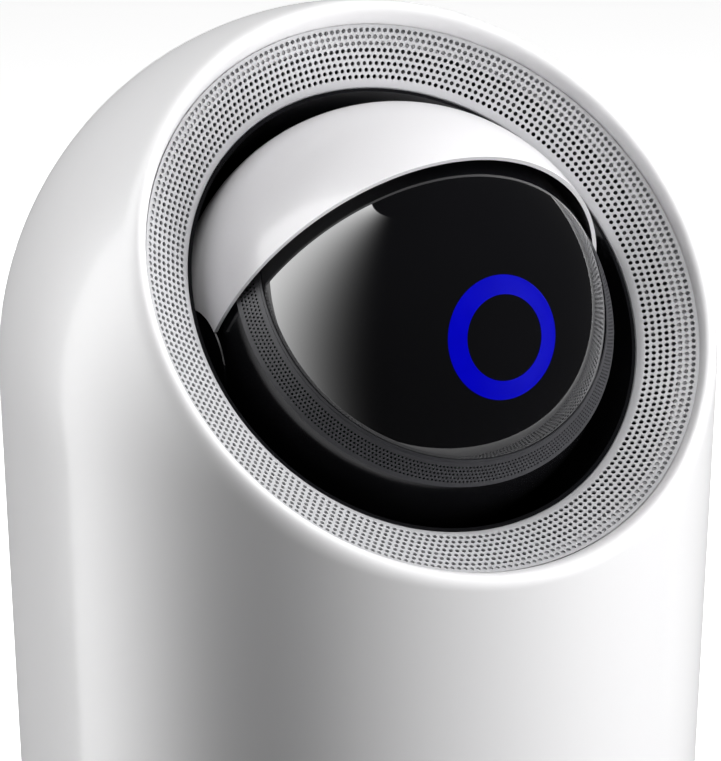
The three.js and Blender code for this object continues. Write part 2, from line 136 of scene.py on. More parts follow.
white_satin = moulded("white satin shell", (0.86, 0.855, 0.865), 0.42, 0.03, 1400.0, 0.012, 0.25)
lid_satin = moulded("white satin eyelid", (0.84, 0.83, 0.85), 0.34, 0.03, 1600.0, 0.012, 0.35)
silver_satin = moulded("silver satin grille", (0.52, 0.52, 0.535), 0.3, 0.06, 2200.0, 0.05)
black_gloss = moulded("gloss black moulding", (0.006, 0.006, 0.007), 0.16, 0.02, 900.0, 0.2, 0.6)
dark_satin = moulded("dark grey band", (0.045, 0.045, 0.05), 0.45, 0.25, 2600.0, 0.15)
grey_plain = moulded("plain grey plastic", (0.42, 0.42, 0.44), 0.5, 0.08, 1500.0, 0.05)
print("moulded finishes:", white_satin.name, silver_satin.name, black_gloss.name)

# %% [markdown]
# The eye's face is polished black glass, and its status light is a blue light guide set flush in
# it. The glass gets its depth from a clear coat over near black. The light gives off its own
# colour, whose depth drifts a little from place to place.


# %% Glass and light
def polished_glass():
    finish = Finish("polished black glass")
    smear = finish.noise(14.0, 4.0)
    return finish.set(
        Base_Color=finish.tones((0.002, 0.002, 0.0025), (0.004, 0.004, 0.005), smear),
        Roughness=0.02 + 0.03 * smear,
        Coat_Weight=1.0,
        Coat_Roughness=0.015,
        IOR=1.52,
    )


def lit_guide():
    finish = Finish("blue light guide")
    cloud = finish.noise(120.0, 2.0)
    glow = finish.tones((0.0, 0.0, 0.38), (0.0, 0.0, 0.44), cloud)
    return finish.set(
        Base_Color=finish.tones((0.0, 0.0, 0.05), (0.0, 0.0, 0.08), cloud),
        Specular_IOR_Level=0.25,
        Emission_Color=glow,
        Emission_Strength=1.0,
        Roughness=0.35 + 0.1 * cloud,
    )


black_glass = polished_glass()
blue_light = lit_guide()
print("glass and light ready")

# %% [markdown]
# The parts that only show when the purifier is opened have their own finishes: pleated paper,
# carbon granules, turned steel, rubber and circuit board. Each is a noise or a cell pattern at the
# size of the real grain.


# %% Inner finishes
def filter_paper():
    finish = Finish("filter paper")
    fibre = finish.noise(700.0, 6.0)
    return finish.set(
        Base_Color=finish.tones((0.70, 0.68, 0.62), (0.84, 0.83, 0.78), fibre),
        Roughness=0.85 + 0.1 * fibre,
        Normal=finish.bump(fibre, 0.3, 0.0003),
    )


def carbon_granules():
    finish = Finish("carbon granules")
    cells = finish.add("ShaderNodeTexVoronoi", {}, {"Vector": finish.where, "Scale": 420.0})
    return finish.set(
        Base_Color=finish.tones((0.006, 0.006, 0.006), (0.03, 0.03, 0.03), cells),
        Roughness=0.8 + 0.2 * cells,
        Normal=finish.bump(cells, 0.9, 0.001),
    )


def turned_steel():
    finish = Finish("turned steel")
    squeeze = {"Vector": finish.where, "Scale": (4.0, 4.0, 220.0)}
    lines = finish.noise(8.0, 3.0, finish.add("ShaderNodeMapping", {}, squeeze))
    return finish.set(
        Base_Color=finish.tones((0.40, 0.41, 0.43), (0.58, 0.59, 0.61), lines),
        Metallic=1.0,
        Roughness=0.24 + 0.18 * lines,
        Normal=finish.bump(lines, 0.1, 0.0001),
    )


def circuit_board():
    finish = Finish("circuit board")
    inputs = {"Vector": finish.where, "Scale": 60.0, "Mortar Size": 0.03}
    tracks = finish.add("ShaderNodeTexBrick", {}, inputs, "Fac")
    return finish.set(
        Base_Color=finish.tones((0.015, 0.10, 0.035), (0.05, 0.20, 0.08), tracks),
        Roughness=0.35 + 0.2 * tracks,
        Normal=finish.bump(tracks, 0.2, 0.0002),
    )


paper = filter_paper()
carbon = carbon_granules()
steel = turned_steel()
board = circuit_board()
rubber = moulded("moulded rubber", (0.018, 0.018, 0.018), 0.78, 0.4, 1200.0, 0.2)
print("inner finishes ready")

# %% [markdown]
# Two kinds of step make most parts. A spin turns an outline round an axis, as a lathe would, and a
# cell with a hole, repeated round the axis, makes a perforated sheet. Both are drawn upright in
# millimetres and then carried to their place by a matrix, because upright outlines are easy to
# read and to change.

# %% Outlines, spins and finished pieces
MM = 0.001


def spun(outline, steps=160):
    """A closed outline of (radius, height) pairs turned round Z."""
    bm = bmesh.new()
    points = [bm.verts.new((radius * MM, 0, height * MM)) for radius, height in outline]
    for first, second in zip(points, points[1:] + points[:1]):
        if first.co.x > 1e-9 or second.co.x > 1e-9:
            bm.edges.new((first, second))
    geometry = bm.verts[:] + bm.edges[:]
    bmesh.ops.spin(
        bm, geom=geometry, cent=(0, 0, 0), axis=(0, 0, 1), angle=math.tau, steps=steps,
        use_merge=True,
    )
    bmesh.ops.remove_doubles(bm, verts=bm.verts, dist=1e-7)
    bmesh.ops.dissolve_degenerate(bm, edges=bm.edges, dist=1e-8)
    bmesh.ops.recalc_face_normals(bm, faces=bm.faces)
    return bm


def arc(radius, start, end, steps, middle=0.0):
    """Points on a circle round (0, middle), at angles off the axis from start to end."""
    turns = [math.radians(start + (end - start) * i / steps) for i in range(steps + 1)]
    return [(abs(radius * math.sin(turn)), middle + radius * math.cos(turn)) for turn in turns]


def piece(bm, name, nodes, material, body="tower", sharp=35.0, at=None):
    """Puts a finished mesh into the scene in place of its engineering parts."""
    if at is not None:
        bm.transform(at)
    name = name.replace(" ", "-")
    mesh = bpy.data.meshes.new(name)
    bm.to_mesh(mesh)
    bm.free()
    mesh.shade_smooth()
    mesh.set_sharp_from_angle(angle=math.radians(sharp))
    obj = bpy.data.objects.new(name, mesh)
    bpy.context.scene.collection.objects.link(obj)
    mesh.materials.append(material)
    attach(obj, body)
    if nodes:
        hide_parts(*nodes)
    print(name, len(mesh.polygons), "faces")
    return obj


def softened(obj, width, segments=2, angle=40.0):
    """Rounds the sharp edges of a piece."""
    bevel = obj.modifiers.new("soft edges", "BEVEL")
    bevel.width = width * MM
    bevel.segments = segments
    bevel.limit_method = "ANGLE"
    bevel.angle_limit = math.radians(angle)
    bevel.harden_normals = True


def thickened(obj, wall, sharp=40.0):
    """Gives a sheet its wall, inwards, and keeps the new wall's edges crisp."""
    solidify = obj.modifiers.new("wall", "SOLIDIFY")
    solidify.thickness = wall * MM
    solidify.offset = -1.0
    solidify.use_even_offset = True
    evaluated = obj.evaluated_get(bpy.context.evaluated_depsgraph_get())
    walled = bpy.data.meshes.new_from_object(evaluated)
    obj.modifiers.clear()
    obj.data = walled
    walled.set_sharp_from_angle(angle=math.radians(sharp))
    print(obj.name, "with its wall", len(walled.polygons), "faces")


# %% [markdown]
# The body is a cylinder under half a ball, and the mouth is cut into it on a slant. Everything
# round the mouth shares one leaning axis, so a mouth matrix and an eye matrix carry pieces there.

# %% Sizes and places
body_radius = 158.0
dome_centre = 602.0
mouth_tilt = math.radians(48.7)
mouth_drop = 3.0
seam_height = 357.6
grille_outer, grille_inner = 124.4, 102.2
grille_outer_height, grille_depth = 83.4, 14.5
eye_depth = 26.6
shell_wall = 2.6
gap = 0.3

slope_up = Vector((0, math.cos(mouth_tilt), math.sin(mouth_tilt)))
mouth_axis = Vector((0, -math.sin(mouth_tilt), math.cos(mouth_tilt)))
dome = Vector((0, 0, dome_centre))
mouth_start = dome - slope_up * mouth_drop
mouth = Matrix.Translation(mouth_start * MM) @ Matrix.Rotation(mouth_tilt, 4, "X")
grille_inner_height = grille_outer_height - grille_depth
eye_height = grille_inner_height - eye_depth
eye_centre = mouth_start + mouth_axis * eye_height
eye = Matrix.Translation(eye_centre * MM) @ Matrix.Rotation(mouth_tilt, 4, "X")
print("middle of the eye, mm:", tuple(round(part, 2) for part in eye_centre))

# %% [markdown]
# The upper shell could be cut with a boolean, but a boolean leaves ragged shading on a surface
# this smooth. Instead a strip is spun round the mouth's axis and each of its rings slides out
# along its own ray until it lies on the body: half ball above, cylinder below. The first rings
# make the rolled lip round the mouth.

# %% Where a ray from the middle of the dome meets the body
lip_width = 9.0
opening = grille_outer + gap
lip_rings, body_rings, around = 12, 64, 224
ring_spread = 1.15  # above 1, the rings crowd near the lip


def ray(turn, lean):
    side = Vector((math.cos(turn), 0, 0)) + slope_up * math.sin(turn)
    return mouth_axis * math.cos(lean) + side * math.sin(lean)


def on_body(direction):
    reach = body_radius if direction.z >= 0 else body_radius / math.hypot(direction.x, direction.y)
    return direction * reach


def off_axis(point):
    """How far a point is from the mouth's axis, and the angle at which it lies round it."""
    up = point.dot(slope_up) + mouth_drop
    return math.hypot(point.x, up), math.atan2(up, point.x)


def crease_lean(turn):
    low, high = 0.4, 1.5
    for _ in range(40):
        middle = (low + high) / 2
        if off_axis(on_body(ray(turn, middle)))[0] < opening + lip_width:
            low = middle
        else:
            high = middle
    return low


def sweep_down(turn, lean, share):
    """The direction from the crease (share 0) round to the seam (share 1), along a great circle."""
    start = ray(turn, lean)
    foot = (body_radius * math.cos(turn), body_radius * math.sin(turn), seam_height - dome_centre)
    end = Vector(foot).normalized()
    whole = start.angle(end)
    return (start * math.sin(whole * (1 - share)) + end * math.sin(whole * share)) / math.sin(whole)


print("crease at the top and at the foot, degrees:",
      [round(math.degrees(crease_lean(side * math.pi / 2)), 1) for side in (1, -1)])


# %% The upper shell
def lip_point(turn, lean, share):
    """Along a rolled edge from the crease on the body (share 1) to the grille's edge (share 0)."""
    crease = on_body(ray(turn, lean))
    radius, angle = off_axis(crease)
    height = crease.dot(mouth_axis)
    inner = on_body(ray(turn, lean - 0.03))
    rise = (inner.dot(mouth_axis) - height) / max(radius - off_axis(inner)[0], 0.1)
    first = Vector((opening, grille_outer_height - 1.0))
    second = Vector((opening + 0.6, grille_outer_height + 6.5))
    third = Vector((radius - 4.6, height + 4.6 * rise * 0.93))
    last = Vector((radius, height))
    rest = 1 - share
    flat = (
        first * rest**3
        + second * 3 * rest**2 * share
        + third * 3 * rest * share**2
        + last * share**3
    )
    side = Vector((math.cos(angle), 0, 0)) + slope_up * math.sin(angle)
    return side * flat.x + mouth_axis * flat.y - slope_up * mouth_drop


def upper_shell():
    bm = bmesh.new()
    rings = lip_rings + body_rings
    starts = [math.pi * (i + 1) / (rings + 3) for i in range(rings + 1)]
    strip = [bm.verts.new((math.sin(start), 0, math.cos(start))) for start in starts]
    edges = [bm.edges.new(pair) for pair in zip(strip, strip[1:])]
    bmesh.ops.spin(
        bm, geom=strip + edges, cent=(0, 0, 0), axis=(0, 0, 1), angle=math.tau, steps=around,
        use_merge=True,
    )
    bmesh.ops.remove_doubles(bm, verts=bm.verts, dist=1e-6)
    leans = [crease_lean(math.tau * spoke / around) for spoke in range(around)]
    for vert in bm.verts:
        ring = round(math.acos(vert.co.z) * (rings + 3) / math.pi) - 1
        spoke = round(math.atan2(vert.co.y, vert.co.x) * around / math.tau) % around
        turn, lean = math.tau * spoke / around, leans[spoke]
        if ring < lip_rings:
            place = lip_point(turn, lean, ring / lip_rings)
        else:
            share = ((ring - lip_rings) / body_rings) ** ring_spread
            place = on_body(sweep_down(turn, lean, share))
        vert.co = (dome + place) * MM
    bmesh.ops.recalc_face_normals(bm, faces=bm.faces)
    if sum(face.normal.dot(face.calc_center_median() - dome * MM) for face in bm.faces) < 0:
        bmesh.ops.reverse_faces(bm, faces=bm.faces)
    return bm


shell = piece(
    upper_shell(), "upper shell", ["upper_shell"], white_satin, sharp=60
)
thickened(shell, shell_wall)

# %% [markdown]
# The outlet ring is a silver funnel with eight rows of small holes. Painted holes would look flat
# from the side, so they are real. One cell with an eight-sided hole is drawn for each row and
# spun round as copies. Each row has six cells more than the one inside it, which keeps the holes
# the same distance apart and gives the pattern its six-pointed sheen.


# %% A perforated sheet
def round_hole(across, along, sides=8):
    turns = [math.tau * i / sides for i in range(sides)]
    return [(math.cos(turn) * across / 2, math.sin(turn) * along / 2) for turn in turns]


def long_hole(across, along, sides=12):
    straight = (along - across) / 2
    turns = [math.tau * (i + 0.5) / sides for i in range(sides)]
    return [
        (math.cos(t) * across / 2, math.sin(t) * across / 2 + math.copysign(straight, math.sin(t)))
        for t in turns
    ]


def cell_edge(wide, tall, sides):
    """As many points round a cell's border as its hole has, facing the same ways."""
    turns = [math.tau * (i if sides == 8 else i + 0.5) / sides for i in range(sides)]
    reaches = [0.5 / max(abs(math.cos(turn)), abs(math.sin(turn))) for turn in turns]
    return [
        (math.cos(turn) * reach * wide, math.sin(turn) * reach * tall)
        for turn, reach in zip(turns, reaches)
    ]


def add_row(bm, hole, count, tall, lay, first_turn=0.0, sweep=math.tau, open_hole=True):
    """One row of cells. lay turns a place (angle, height within the row) into a point."""
    span = sweep / count
    row = bmesh.new()
    edges = []
    loops = [(cell_edge(1.0, tall, len(hole)), False), (hole, True)]
    for loop, is_hole in loops if open_hole else loops[:1]:
        places = [lay(x if is_hole else x * span, y, is_hole) for x, y in loop]
        verts = [row.verts.new(Vector(place) * MM) for place in places]
        edges += [row.edges.new(pair) for pair in zip(verts, verts[1:] + verts[:1])]
    if open_hole:
        bmesh.ops.bridge_loops(row, edges=edges)
    else:
        bmesh.ops.contextual_create(row, geom=edges)
    turned = Matrix.Rotation(first_turn, 3, "Z")
    bmesh.ops.rotate(row, verts=row.verts, cent=(0, 0, 0), matrix=turned)
    geometry = row.verts[:] + row.edges[:] + row.faces[:]
    bmesh.ops.spin(
        row, geom=geometry, cent=(0, 0, 0), axis=(0, 0, 1), angle=span * (count - 1),
        steps=count - 1, use_duplicate=True,
    )
    spare = bpy.data.meshes.new("row")
    row.to_mesh(spare)
    row.free()
    bm.from_mesh(spare)
    bpy.data.meshes.remove(spare)


def conical_row(bm, centre, slope, hole_size, count, pitch, first_turn=0.0):
    """A row on a cone: centre is (radius, height) and slope the way up it, as in outlines."""
    radius, height = centre

    def lay(x, y, is_hole):
        turn = x / radius if is_hole else x
        out, up = radius + slope[0] * y, height + slope[1] * y
        return (out * math.cos(turn), out * math.sin(turn), up)

    add_row(bm, round_hole(hole_size, hole_size), count, pitch, lay, first_turn)


def facing(bm, outward):
    """Merges the cells and turns every face the way that outward says."""
    bmesh.ops.remove_doubles(bm, verts=bm.verts, dist=2e-6)
    bm.normal_update()
    wrong = [face for face in bm.faces if face.normal.dot(outward(face.calc_center_median())) < 0]
    bmesh.ops.reverse_faces(bm, faces=wrong)


print("cells are drawn once and spun as copies")

# %% The outlet ring
hole_pitch, hole_size, ring_wall = 2.86, 2.02, 0.9
ring_rows = 8
inner_holes, more_per_row = 228, 6
inner_rim = 2.6
ring_slope = Vector((grille_outer - grille_inner, grille_depth)).normalized()
pattern_turn = math.radians(-16.5)
sheet_start = Vector((grille_inner, grille_inner_height)) + ring_slope * inner_rim

perforated = bmesh.new()
for row in range(ring_rows):
    centre = sheet_start + ring_slope * hole_pitch * (row + 0.5)
    count = inner_holes + more_per_row * row
    conical_row(perforated, centre, ring_slope, hole_size, count, hole_pitch, pattern_turn)
facing(
    perforated, lambda centre: Vector((-centre.x, -centre.y, math.hypot(centre.x, centre.y) * 1.5))
)
ring_sheet = piece(perforated, "perforated outlet ring", ["outlet_grille"], silver_satin,
                   at=mouth, sharp=50)
thickened(ring_sheet, ring_wall)

sheet_end = sheet_start + ring_slope * hole_pitch * ring_rows
rim = spun([
    (grille_inner + 0.5, grille_inner_height - 8),
    (grille_inner, grille_inner_height - 7.4),
    (grille_inner, grille_inner_height - 0.9),
    (grille_inner + 0.9, grille_inner_height + 0.35),
    (sheet_start.x, sheet_start.y),
    (sheet_start.x + 0.3, sheet_start.y - 1.3),
    (grille_inner + 1.6, grille_inner_height - 1.8),
    (grille_inner + 1.6, grille_inner_height - 8),
], 224)
piece(rim, "outlet ring inner rim", ["outlet_grille"], silver_satin, at=mouth)
edge = spun([
    (sheet_end.x, sheet_end.y),
    (grille_outer, grille_outer_height),
    (grille_outer, grille_outer_height - 3.6),
    (grille_outer - 1.6, grille_outer_height - 3.6),
    (sheet_end.x + 0.3, sheet_end.y - 1.3),
], 224)
piece(
    edge, "outlet ring outer edge", ["outlet_grille"], silver_satin, at=mouth
)
hole_total = sum(inner_holes + more_per_row * row for row in range(ring_rows))
print("holes in the outlet ring:", hole_total)

# %% [markdown]
# Behind the ring lies the well, a black bowl in which the lid swings. It is spun, with a flange
# under the ring that hides the duct, so that the holes read black. A white ledge of the shell
# shows through the outermost rows.

# %% The well
lid_radius = 96.0
well_radius, well_wall = 100.3, 1.6
well_outer = well_radius + well_wall
bowl = arc(well_radius, 90, 180, 36, eye_height)
bowl_back = arc(well_outer, 180, 90, 36, eye_height)
well = spun([
    (well_radius, grille_inner_height - 1.6),
    *bowl,
    *bowl_back,
    (well_outer, grille_inner_height - 10.5),
    (113.0, grille_inner_height - 7.0),
    (118.0, grille_inner_height + 2.0),
    (117.2, grille_inner_height + 2.6),
    (112.0, grille_inner_height - 5.4),
    (grille_inner + 2.4, grille_inner_height - 8.6),
    (well_outer, grille_inner_height - 8.6),
    (well_outer, grille_inner_height - 1.6),
], 160)
piece(well, "black well", ["well_liner"], black_gloss, at=mouth)

ledge = spun([
    (119.0, grille_outer_height - 8.5),
    (opening + 2.0, grille_outer_height - 5.4),
    (opening + 2.0, grille_outer_height - 6.6),
    (119.4, grille_outer_height - 9.6),
], 128)
piece(ledge, "shell ledge", [], white_satin, at=mouth)

# %% [markdown]
# The eye is a ball: a glass dome in front, a perforated band behind the dome's edge and a plain
# black shell at the back. The dome is spun as a thin dish, and a narrow dark trim ring closes its
# edge.

# %% The eye's glass, light and shell
glass_radius, glass_rim = 90.0, 78.4
glass_edge = math.degrees(math.asin(glass_rim / glass_radius))
glass_height = math.sqrt(glass_radius**2 - glass_rim**2)
light_outer, light_inner = 25.0, 17.3
light_droop = math.radians(26.8)
light_depth = 0.35

dish = spun([
    *arc(glass_radius, 0, glass_edge - 0.8, 72),
    (glass_rim - 0.5, glass_height - 0.2),
    (glass_rim - 0.6, glass_height - 2.0),
    *arc(glass_radius - 2.4, glass_edge - 0.8, 0, 24),
], 256)
piece(dish, "eye glass", ["eye_glass"], black_glass, at=eye, sharp=45)

ground_edge = spun([
    (glass_rim - 0.55, glass_height + 0.25),
    (glass_rim - 0.1, glass_height + 0.45),
    (glass_rim + 0.35, glass_height - 0.1),
    (glass_rim + 0.35, glass_height - 2.2),
    (glass_rim - 0.4, glass_height - 2.2),
], 256)
piece(ground_edge, "glass edge trim", [], dark_satin, at=eye)

light_lean = [
    math.degrees(math.asin(radius / glass_radius)) for radius in (light_inner, light_outer)
]
guide = spun([
    *arc(glass_radius + 0.12, light_lean[0], light_lean[1], 10),
    *arc(glass_radius - light_depth, light_lean[1], light_lean[0], 6),
], 128)
eye_light = eye @ Matrix.Rotation(light_droop, 4, "X")
piece(guide, "status light", ["light_ring"], blue_light, at=eye_light)

shell_radius, band_drop = 92.0, 9.0
band_outer_height = glass_height - band_drop
band_outer = math.sqrt((lid_radius - 1.8 - 1) ** 2 - band_outer_height**2)
shell_edge = math.degrees(math.acos((band_outer_height - 0.6) / shell_radius))
back = spun([
    *arc(shell_radius, shell_edge, 180, 48),
    *arc(shell_radius - 2, 180, shell_edge, 24),
], 160)
piece(back, "eye back shell", ["eye_shell"], black_gloss, at=eye)

# %% [markdown]
# The band round the glass is the finest sheet of all: five rows of pin holes between two smooth
# dark rims. It uses the same cells as the outlet ring, on a cone that slopes backwards.

# %% The perforated band
band_pitch, pin_hole, band_wall = 1.62, 0.98, 0.8
band_rows = 5
band_start = Vector((glass_rim + 0.45, glass_height - 0.4))
band_end = Vector((band_outer, band_outer_height))
band_slope = (band_end - band_start).normalized()
band_rim = ((band_end - band_start).length - band_rows * band_pitch) / 2
band_holes = 306

band = bmesh.new()
for row in range(band_rows):
    centre = band_start + band_slope * (band_rim + band_pitch * (row + 0.5))
    stagger = math.tau / band_holes / 2 * (row % 2)
    conical_row(band, centre, band_slope, pin_hole, band_holes, band_pitch, stagger)
facing(band, lambda centre: Vector((centre.x, centre.y, math.hypot(centre.x, centre.y))))
band_sheet = piece(
    band, "perforated band", ["eye_band"], dark_satin, at=eye, sharp=50
)
thickened(band_sheet, band_wall)


def band_rim_outline(start, end):
    across = Vector((-band_slope.y, band_slope.x))
    return [start, start - across * 1.6, end - across * 1.6, end]


near = band_start + band_slope * band_rim
far = band_end - band_slope * band_rim
for name, start, end in (("inner", band_start, near), ("outer", far, band_end)):
    outline = [tuple(point) for point in band_rim_outline(start, end)]
    rim_mesh = spun(outline, 224)
    piece(rim_mesh, f"band {name} rim", ["eye_band"], dark_satin, at=eye)

# %% [markdown]
# The eyelid is a slice of a thin ball that turns on two pivots, like the visor of a helmet. It
# starts as a half circle spun round the pivots' axis. Its front edge is a flat cut, made by a
# bisecting plane, and its wall is added last. Each end stops short of the pivot, where a black
# hub carries it.

# %% The eyelid
lid_wall = 1.8
lid_edge_tilt = math.radians(24.6)
lid_edge_lead, lid_rear_drop = 4.8, 12.0
hub_radius = 22.6
lid_end = math.degrees(math.asin(hub_radius / lid_radius))
lid_place = Matrix.Translation(eye_centre * MM)
front_cut = Vector((0, math.cos(lid_edge_tilt), math.sin(lid_edge_tilt)))
to_pivot_axis = Matrix.Rotation(math.radians(90), 4, "Y")


def slice_of_ball(outline, steps):
    """A ball's strip spun right round the pivots' axis, then cut to the lid's two edges."""
    bm = bmesh.new()
    points = [bm.verts.new((radius * MM, 0, height * MM)) for radius, height in outline]
    edges = [bm.edges.new(pair) for pair in zip(points, points[1:])]
    bmesh.ops.spin(
        bm, geom=points + edges, cent=(0, 0, 0), axis=(0, 0, 1), angle=math.tau, steps=steps,
        use_merge=True,
    )
    bmesh.ops.remove_doubles(bm, verts=bm.verts, dist=1e-7)
    bm.transform(to_pivot_axis)
    down = Vector((0, 0, -1))
    cuts = ((-front_cut * lid_edge_lead, -front_cut), (down * lid_rear_drop, down))
    for point, away in cuts:
        geometry = bm.verts[:] + bm.edges[:] + bm.faces[:]
        bmesh.ops.bisect_plane(
            bm, geom=geometry, dist=1e-7, plane_co=point * MM, plane_no=away, clear_outer=True
        )
    facing(bm, lambda centre: centre)
    return bm


lid_mesh = slice_of_ball(arc(lid_radius, lid_end, 180 - lid_end, 96), 160)
lid = piece(
    lid_mesh, "white eyelid", ["eyelid"], lid_satin, "lid", at=lid_place, sharp=60
)
thickened(lid, lid_wall)
softened(lid, 0.45, 3, 60)


def hub(side):
    """A black hub under the lid's end, with a rim and a raised boss round the pin."""
    bm = spun([
        (3.3, 90.2), (3.3, 95.6), (4.2, 96.0), (7.0, 96.0), (7.8, 95.2), (12.0, 94.8),
        (hub_radius - 0.6, 92.9), (hub_radius - 0.2, 92.4), (hub_radius - 0.9, 91.9),
        (12.0, 93.2), (6.0, 93.2),
    ], 64)
    bm.transform(Matrix.Rotation(math.radians(90) * side, 4, "Y"))
    return bm


for side, word in ((-1, "left"), (1, "right")):
    piece(hub(side), f"{word} lid hub", [], black_gloss, "lid", at=lid_place)

# %% [markdown]
# The lower half draws the air in. It is a cylinder in two halves, the front one fixed and the
# rear one a door, with rows of upright slots. The slots are cells again, laid on an upright
# cylinder. The plain bands above, below and beside them are cells with no hole, so that every
# edge meets its neighbour point for point and each half is one closed sheet.

# %% The intake panels
panel_bottom, panel_top = 44.6, 357.3
door_start = 8.0
slot_rows = 9
slot_wide, slot_tall, slot_pitch = 3.4, 20.0, 25.0
plain_foot = 22.0
slots_from = panel_bottom + plain_foot
slots_to = slots_from + slot_pitch * slot_rows
columns, plain_columns, latch_columns = 58, 2, 4
latch_low, latch_high = 325.9, 339.5
door_turn = math.asin(door_start / body_radius)


def slotted_half(start_turn, end_turn, with_latch):
    bm = bmesh.new()
    column = (end_turn - start_turn) / columns

    def add_cells(low, high, first, last, slotted):
        middle = (low + high) / 2

        def lay(x, y, is_hole):
            turn = x / body_radius if is_hole else x
            return (body_radius * math.cos(turn), body_radius * math.sin(turn), middle + y)

        hole = long_hole(slot_wide, slot_tall)
        count = last - first
        first_turn = start_turn + column * (first + 0.5)
        add_row(bm, hole, count, high - low, lay, first_turn, column * count, slotted)

    slot_lines = [slots_from + slot_pitch * i for i in range(slot_rows + 1)]
    bands = [(panel_bottom, slots_from), *zip(slot_lines, slot_lines[1:])]
    bands += [(slots_to, latch_low), (latch_low, latch_high), (latch_high, panel_top)]
    for low, high in bands:
        if slots_from <= low < slots_to - 1:
            add_cells(low, high, 0, plain_columns, False)
            add_cells(low, high, plain_columns, columns - plain_columns, True)
            add_cells(low, high, columns - plain_columns, columns, False)
        elif with_latch and low == latch_low:
            add_cells(low, high, 0, (columns - latch_columns) // 2, False)
            add_cells(low, high, (columns + latch_columns) // 2, columns, False)
        else:
            add_cells(low, high, 0, columns, False)
    facing(bm, lambda centre: Vector((centre.x, centre.y, 0)))
    return bm


front = piece(slotted_half(math.pi - door_turn, math.tau + door_turn, False), "front intake panel",
              ["front_intake_panel"], white_satin)
thickened(front, shell_wall)
door_edge = door_turn + 2 * gap / body_radius
door = piece(slotted_half(door_edge, math.pi - door_edge, True), "rear filter door",
             ["rear_filter_door"], white_satin, "door")
thickened(door, shell_wall)

# %% [markdown]
# The door's latch is a small push plate near the top of the door. It follows the door's curve, so
# its edge is spun through a short angle and given a wall, and its rim is softened.

# %% The door latch
latch_wall = 2.4
latch_half = (math.pi - 2 * door_edge) * latch_columns / columns / 2 - gap / body_radius


def latch_plate():
    bm = bmesh.new()
    foot = (-math.sin(latch_half) * body_radius, math.cos(latch_half) * body_radius)
    heights = (latch_low + gap, latch_high - gap)
    verts = [bm.verts.new((foot[0] * MM, foot[1] * MM, height * MM)) for height in heights]
    line = bm.edges.new(verts)
    bmesh.ops.spin(
        bm, geom=[*verts, line], cent=(0, 0, 0), axis=(0, 0, -1), angle=2 * latch_half, steps=12
    )
    facing(bm, lambda centre: Vector((centre.x, centre.y, 0)))
    return bm


latch = piece(latch_plate(), "latch plate", ["door_latch"], grey_plain, "latch")
thickened(latch, latch_wall)
softened(latch, 0.8, 3, 60)

# %% [markdown]
# The base is a shallow tray with a rounded foot, closed by a deck. Four rubber feet with a
# moulded dimple stand under it. All are spun.

# %% The base, deck and feet
base_outline = [
    (0, 6.0), (142, 6.0), (146, 6.6), (149.2, 8.4), (151.4, 12), (155.8, 22), (157.6, 28),
    (158, 33), (158, 39.9), (157.6, 40.1), (155.4, 40.1), (155, 39.6), (154.6, 29),
    (148.6, 13), (144, 9.2), (0, 9.2),
]
piece(
    spun(base_outline, 192), "base shell", ["base_shell"], white_satin, sharp=50
)
deck_outline = [(0, 40.4), (157.2, 40.4), (157.9, 41), (157.9, 43.6), (157.2, 44.2), (0, 44.2)]
piece(spun(deck_outline, 192), "base deck", ["base_deck"], white_satin)

foot_circle = 122.0
foot_outline = [
    (0, 0.9), (5, 0.9), (6.2, 0.1), (9.6, 0.0), (10.6, 0.5), (11, 1.6), (10.6, 5.7), (0, 5.7),
]
for index in range(4):
    turn = math.radians(45 + 90 * index)
    stand = Matrix.Translation(Vector((math.cos(turn), math.sin(turn), 0)) * foot_circle * MM)
    name, node = f"foot {index + 1}", f"foot_{index + 1}"
    piece(spun(foot_outline, 48), name, [node], rubber, at=stand)

# %% [markdown]
# The filter shows when the door is off. Its paper is folded into deep pleats: a zigzag ring drawn
# by moving every second vertex of a circle inwards, then pulled up to its height. A square net
# lies over it.

# %% The filter's pleats and net
filter_bottom, filter_top = 44.6, 348.6
cap_tall = 8.0
media_bottom, media_top = filter_bottom + cap_tall + gap, filter_top - cap_tall - gap
filter_radius, pleat_depth, pleats = 107.6, 38.0, 150
paper_wall, filter_bore = 0.5, 58.0


def pleated_ring():
    bm = bmesh.new()
    circle = bmesh.ops.create_circle(
        bm, cap_ends=False, segments=pleats * 2, radius=filter_radius * MM
    )
    for index, vert in enumerate(circle["verts"]):
        if index % 2:
            vert.co *= 1 - pleat_depth / filter_radius
        vert.co.z = media_bottom * MM
    pulled = bmesh.ops.extrude_edge_only(bm, edges=bm.edges[:])
    risen = [item for item in pulled["geom"] if isinstance(item, bmesh.types.BMVert)]
    bmesh.ops.translate(bm, verts=risen, vec=(0, 0, (media_top - media_bottom) * MM))
    facing(bm, lambda centre: Vector((centre.x, centre.y, 0)))
    return bm


pleat_paper = piece(
    pleated_ring(), "pleated filter", ["filter_media"], paper, "filter", sharp=10
)
thickened(pleat_paper, paper_wall)

net_rows, net_count, net_radius = 26, 80, 109.6
hole_half_wide, hole_half_tall, net_wall = 3.4, 4.4, 1.0


def net():
    bm = bmesh.new()
    tall = (media_top - media_bottom) / net_rows
    border = ((1, 0), (1, 1), (0, 1), (-1, 1), (-1, 0), (-1, -1), (0, -1), (1, -1))
    square = [(x * hole_half_wide, y * hole_half_tall) for x, y in border]
    for row in range(net_rows):
        middle = media_bottom + tall * (row + 0.5)

        def lay(x, y, is_hole):
            turn = x / net_radius if is_hole else x
            return (net_radius * math.cos(turn), net_radius * math.sin(turn), middle + y)

        add_row(bm, square, net_count, tall, lay)
    facing(bm, lambda centre: Vector((centre.x, centre.y, 0)))
    return bm


filter_net = piece(
    net(), "prefilter net", ["prefilter_mesh"], dark_satin, "filter", sharp=50
)
thickened(filter_net, net_wall)

